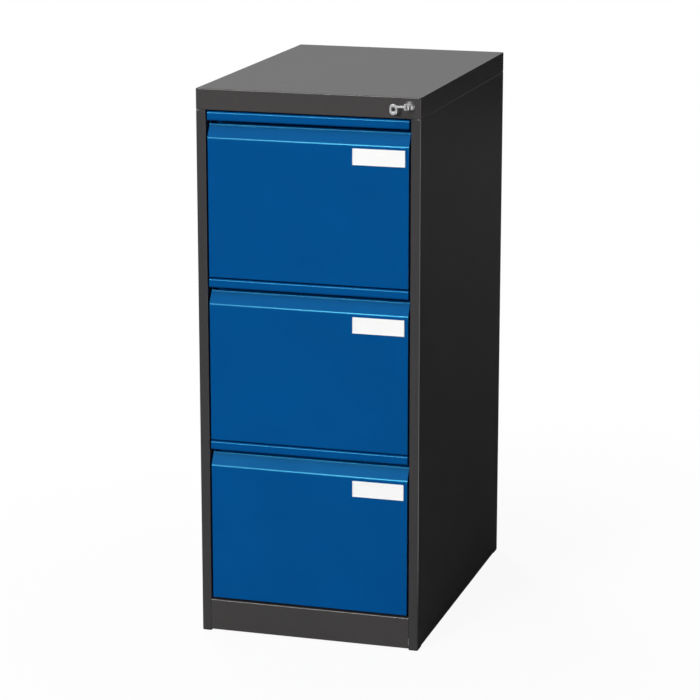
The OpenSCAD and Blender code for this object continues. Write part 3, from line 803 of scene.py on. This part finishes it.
def quarter(centre, radius, start):
    """Points of a quarter circle, as (along, out) pairs, from the angle start in quarters."""
    steps = 8
    angles = [(start + k / steps) * math.pi / 2 for k in range(steps + 1)]
    return [(centre[0] + radius * math.cos(a), centre[1] + radius * math.sin(a)) for a in angles]


def make_collar():
    """Lock housing: a proud collar with a rounded rim, dished round the plug, on a plain barrel."""
    inner, rim = PLUG_R + RUNNING, (lock_high.x - lock_low.x) / 2
    tip, ease = lock_low.y, 2.2 * MM
    dish, dish_top, dish_w = 1.2 * MM, 0.4 * MM, 0.7 * MM
    groove, groove_start, groove_end, bevel = 0.3 * MM, 0.6 * MM, 0.5 * MM, 0.5 * MM
    profile = [(tip + dish, inner), (tip + dish_top, inner + dish_w)]
    profile += quarter((tip + ease, rim - ease), ease, 2)[::-1]
    profile += [
        (FRONT_Y - groove_start, rim),
        (FRONT_Y - groove_end, rim - groove),
        (FRONT_Y, rim - groove),
        (FRONT_Y, LOCK_BODY_R),
        (lock_high.y - bevel, LOCK_BODY_R),
        (lock_high.y, LOCK_BODY_R - bevel),
        (lock_high.y, inner),
    ]
    profile.append(profile[0])
    return finished(turned_solid("lock_collar", profile, LOCK, steps=96))


def make_plug():
    """Lock plug with a bevelled face and its keyway, and a bored spigot behind for the cam."""
    low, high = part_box("lock_plug")
    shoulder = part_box("lock_cam")[0].y - SEAT
    ease, spigot, bore, bore_depth = 0.5 * MM, 3 * MM, 1.55 * MM, 7 * MM
    profile = [
        (low.y, 0),
        (low.y, PLUG_R - ease),
        (low.y + ease, PLUG_R),
        (shoulder, PLUG_R),
        (shoulder, spigot),
        (high.y, spigot),
        (high.y, bore),
        (high.y - bore_depth, bore),
        (high.y - bore_depth, 0),
    ]
    plug = turned_solid("lock_face", profile, LOCK)
    half_w, half_h, depth = 1.1 * MM, 3.5 * MM, 26 * MM
    keyway = block(
        "keyway",
        (LOCK.x - half_w, low.y - PAST, LOCK.z - half_h),
        (LOCK.x + half_w, low.y + depth, LOCK.z + half_h),
    )
    return finished(cut(plug, keyway))


def make_key():
    """Key blade with a stem to the eye that the bow turns on."""
    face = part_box("lock_plug")[0].y
    half_t, blade, stem = 0.9 * MM, 3.2 * MM, EYE_H / 2
    key = block(
        "key_blade",
        (LOCK.x - half_t, face, LOCK.z - blade),
        (LOCK.x + half_t, key_high.y, LOCK.z + blade),
    )
    neck = block(
        "neck",
        (LOCK.x - half_t, HINGE.y, LOCK.z - stem),
        (LOCK.x + half_t, face + SKIN / 4, LOCK.z + stem),
    )
    ease = 0.3 * MM
    ends = (LOCK.z - stem, LOCK.z + stem)
    eye_profile = [
        (ends[0], PIN_R + RUNNING),
        (ends[0], HINGE_R - ease),
        (ends[0] + ease, HINGE_R),
        (ends[1] - ease, HINGE_R),
        (ends[1], HINGE_R - ease),
        (ends[1], PIN_R + RUNNING),
    ]
    eye_profile.append(eye_profile[0])
    eye = turned_solid("eye", eye_profile, HINGE, axis="z", steps=48)
    bore_profile = [
        (ends[0] - PAST, 0),
        (ends[0] - PAST, PIN_R + RUNNING),
        (ends[1] + PAST, PIN_R + RUNNING),
        (ends[1] + PAST, 0),
    ]
    bore = turned_solid("bore", bore_profile, HINGE, axis="z", steps=48)
    return finished(added(cut(added(key, eased(neck, NECK_EASE)), bore), eye))


def oval_ring(name, centre, hole, half_w, half_h, half_t, ease):
    """Upright oval plate, two half circles joined by straight sides, with a round hole."""
    steps, straight = 96, half_h - half_w
    near, far = centre.y - half_t, centre.y + half_t
    bm = bmesh.new()
    rings = []
    for k in range(steps):
        across, up = math.cos(math.tau * k / steps), math.sin(math.tau * k / steps)
        if abs(up) * half_w <= abs(across) * straight:
            outer = half_w / abs(across)
        else:
            outer = straight * abs(up) + math.sqrt(half_w**2 - (straight * across) ** 2)
        section = quarter((near + ease, hole + ease), ease, 2)
        section += quarter((far - ease, hole + ease), ease, 3)
        section += quarter((far - ease, outer - ease), ease, 0)
        section += quarter((near + ease, outer - ease), ease, 1)
        ring = [bm.verts.new((centre.x + r * across, y, centre.z + r * up)) for y, r in section]
        rings.append(ring)
    for a, b in zip(rings, rings[1:] + rings[:1]):
        for i in range(len(a)):
            j = (i + 1) % len(a)
            bm.faces.new((a[i], a[j], b[j], b[i]))
    return piece(name, bm)


def make_bow():
    """Bow folded to the left: two ears on a pin, an arm and an oval with rounded rims."""
    half_t, hole, ease = 1.3 * MM, 3.5 * MM, 1.1 * MM
    half_w, half_h = 7 * MM, 10 * MM
    ring_at = Vector((bow_low.x + half_w, HINGE.y, bow_low.z + half_h))
    near, far = HINGE.y - half_t, HINGE.y + half_t
    bow = oval_ring("bow_ring", ring_at, hole, half_w, half_h, half_t, ease)
    half_arm, half_ears, ear = 2 * MM, bow_high.z - LOCK.z, 2.4 * MM
    arm_x, rim = LOCK.x - HINGE_R - YOKE_GAP, 0.4 * MM
    arm = block(
        "arm",
        (ring_at.x + hole + ease, near + HAIR, LOCK.z - half_arm),
        (arm_x - YOKE_GAP, far - HAIR, LOCK.z + half_arm),
    )
    yoke = block(
        "yoke", (arm_x - YOKE_W, near, LOCK.z - half_ears), (arm_x, far, LOCK.z + half_ears)
    )
    parts = [eased(arm, ARM_EASE), eased(yoke, ARM_EASE)]
    for side in (-1, 1):
        z = LOCK.z + side * (half_ears - ear / 2)
        strap = block(
            "strap",
            (arm_x - YOKE_GAP, near + HAIR, z - ear / 2),
            (LOCK.x, far - HAIR, z + ear / 2),
        )
        drum_profile = [
            (z - ear / 2, 0),
            (z - ear / 2, HINGE_R - rim),
            (z - ear / 2 + rim, HINGE_R),
            (z + ear / 2 - rim, HINGE_R),
            (z + ear / 2, HINGE_R - rim),
            (z + ear / 2, 0),
        ]
        parts += [strap, turned_solid("drum", drum_profile, HINGE, axis="z", steps=48)]
    ends = (LOCK.z - half_ears, LOCK.z + half_ears)
    pin_profile = [(ends[0], 0), (ends[0], PIN_R), (ends[1], PIN_R), (ends[1], 0)]
    parts.append(turned_solid("pin", pin_profile, HINGE, axis="z", steps=32))
    for part in parts:
        added(bow, part)
    return finished(bow)


stands_for(make_collar(), "lock_housing")
stands_for(make_plug(), "lock_plug")
stands_for(make_key(), "key")
stands_for(make_bow(), "key_bow")

# Floor, backdrop and light

FLOOR_HALF = 6.0
WHITE = (1, 1, 1, 1)
DAYLIGHT = (0.97, 0.985, 1, 1)
PALE_FLOOR = 0.86


def fresh_tree(owner):
    """The empty node tree of a new world or material."""
    owner.use_nodes = True
    owner.node_tree.nodes.clear()
    return owner.node_tree


def right_front(tree, x, y):
    """1 towards the front at the right, where a low light panel stands for the mirrors alone."""
    return product(tree, ramp(tree, x, 0.7, 0.85), ramp(tree, y, 0.0, -0.12))


def back_wall(tree, x, y, z):
    """1 high up at the back, fading out to the right and downwards."""
    return product(
        tree, ramp(tree, y, 0.0, 0.5), ramp(tree, x, 0.3, 0.1), ramp(tree, z, 0.0, 0.5)
    )


def front_sky(tree, y, z):
    """1 high up at the front, where the slopes of the drawer fronts look."""
    return product(tree, ramp(tree, y, -0.25, -0.45), ramp(tree, z, 0.2, 0.4))


def make_world(soft_light, mirror_dark, mirror_bright, mirror_sky, panel):
    """White for the camera and soft light all round; mirrors see a pale wall, a sky and a panel."""
    world = bpy.data.worlds.new("studio")
    scene.world = world
    tree = fresh_tree(world)
    path = tree.nodes.new("ShaderNodeLightPath").outputs
    x, y, z = parts_of(tree, tree.nodes.new("ShaderNodeTexCoord").outputs["Generated"])
    low_panel = product(tree, right_front(tree, x, y), ramp(tree, z, 0.25, 0.1), panel)
    sky = product(tree, front_sky(tree, y, z), mirror_sky)
    level = ramp(tree, back_wall(tree, x, y, z), 0, 1, mirror_dark, mirror_bright)
    level = math_node(tree, "ADD", level, low_panel)
    level = math_node(tree, "ADD", level, sky)
    soft = linked(tree, "ShaderNodeBackground", {"Color": DAYLIGHT, "Strength": soft_light})
    mirrored = linked(tree, "ShaderNodeBackground", {"Color": WHITE, "Strength": level})
    white = linked(tree, "ShaderNodeBackground", {"Color": WHITE, "Strength": 1.0})
    seen = math_node(tree, "MAXIMUM", path["Is Camera Ray"], path["Is Transmission Ray"])
    lit = mixed(tree, path["Is Glossy Ray"], soft, mirrored)
    shown = mixed(tree, seen, lit, white)
    linked(tree, "ShaderNodeOutputWorld", {"Surface": shown.outputs[0]})


def floor_material(white_share, bounce, mirror_near, mirror_far, panel):
    """Pale floor with the shadow kept: whiter further out for the camera, dim in mirrors."""
    material = bpy.data.materials.new("floor")
    tree = fresh_tree(material)
    path = tree.nodes.new("ShaderNodeLightPath").outputs
    place = tree.nodes.new("ShaderNodeTexCoord").outputs["Object"]
    away = linked(tree, "ShaderNodeVectorMath", {0: place}, operation="LENGTH")
    outward = linked(tree, "ShaderNodeVectorMath", {0: place}, operation="NORMALIZE")
    distance = away.outputs["Value"]
    x, y = parts_of(tree, outward.outputs["Vector"])[:2]
    whiter = ramp(tree, distance, 0.5, 1.6, white_share, 1.0)
    share = product(tree, path["Is Camera Ray"], whiter)
    level = ramp(tree, distance, 1.0, 5.0, mirror_near, mirror_far)
    under_panel = product(tree, right_front(tree, x, y), ramp(tree, distance, 0.5, 0.8), panel)
    level = math_node(tree, "ADD", level, under_panel)
    tone = ramp(tree, path["Is Diffuse Ray"], 0.0, 1.0, PALE_FLOOR, bounce)
    lit = linked(tree, "ShaderNodeBsdfDiffuse", {"Color": tone})
    white = linked(tree, "ShaderNodeEmission", {"Color": WHITE})
    mirrored = linked(tree, "ShaderNodeEmission", {"Color": WHITE, "Strength": level})
    seen = mixed(tree, share, lit, white)
    shown = mixed(tree, path["Is Glossy Ray"], seen, mirrored)
    linked(tree, "ShaderNodeOutputMaterial", {"Surface": shown.outputs[0]})
    return material


def make_floor(material):
    bm = bmesh.new()
    corners = [(-1, -1), (1, -1), (1, 1), (-1, 1)]
    bm.faces.new([bm.verts.new((x * FLOOR_HALF, y * FLOOR_HALF, 0)) for x, y in corners])
    floor = piece("floor", bm)
    floor.data.materials.append(material)


def area_light(name, at, size, power, mirrored=True):
    """Round lamp aimed at the middle of the cabinet."""
    data = bpy.data.lights.new(name, "AREA")
    data.shape = "DISK"
    data.size = size
    data.energy = power
    light = bpy.data.objects.new(name, data)
    light.location = at
    light.rotation_euler = (LAMP_AIM - light.location).to_track_quat("-Z", "Y").to_euler()
    light.visible_glossy = mirrored
    scene.collection.objects.link(light)


LAMP_AIM = Vector((0, 0, 0.5))
make_world(soft_light=0.11, mirror_dark=0.02, mirror_bright=1.2, mirror_sky=0.8, panel=3.0)
make_floor(
    floor_material(white_share=0.93, bounce=0.8, mirror_near=0.02, mirror_far=0.06, panel=3.0)
)
area_light("key_light", at=(-3.57, -11.68, 4.95), size=3.4, power=890)
area_light("high_light", at=(-1.9, -5.3, 9.9), size=5.0, power=432, mirrored=False)
area_light("back_light", at=(-2.6, 3.6, 2.0), size=2.4, power=175, mirrored=False)
scene.view_settings.view_transform = "Standard"
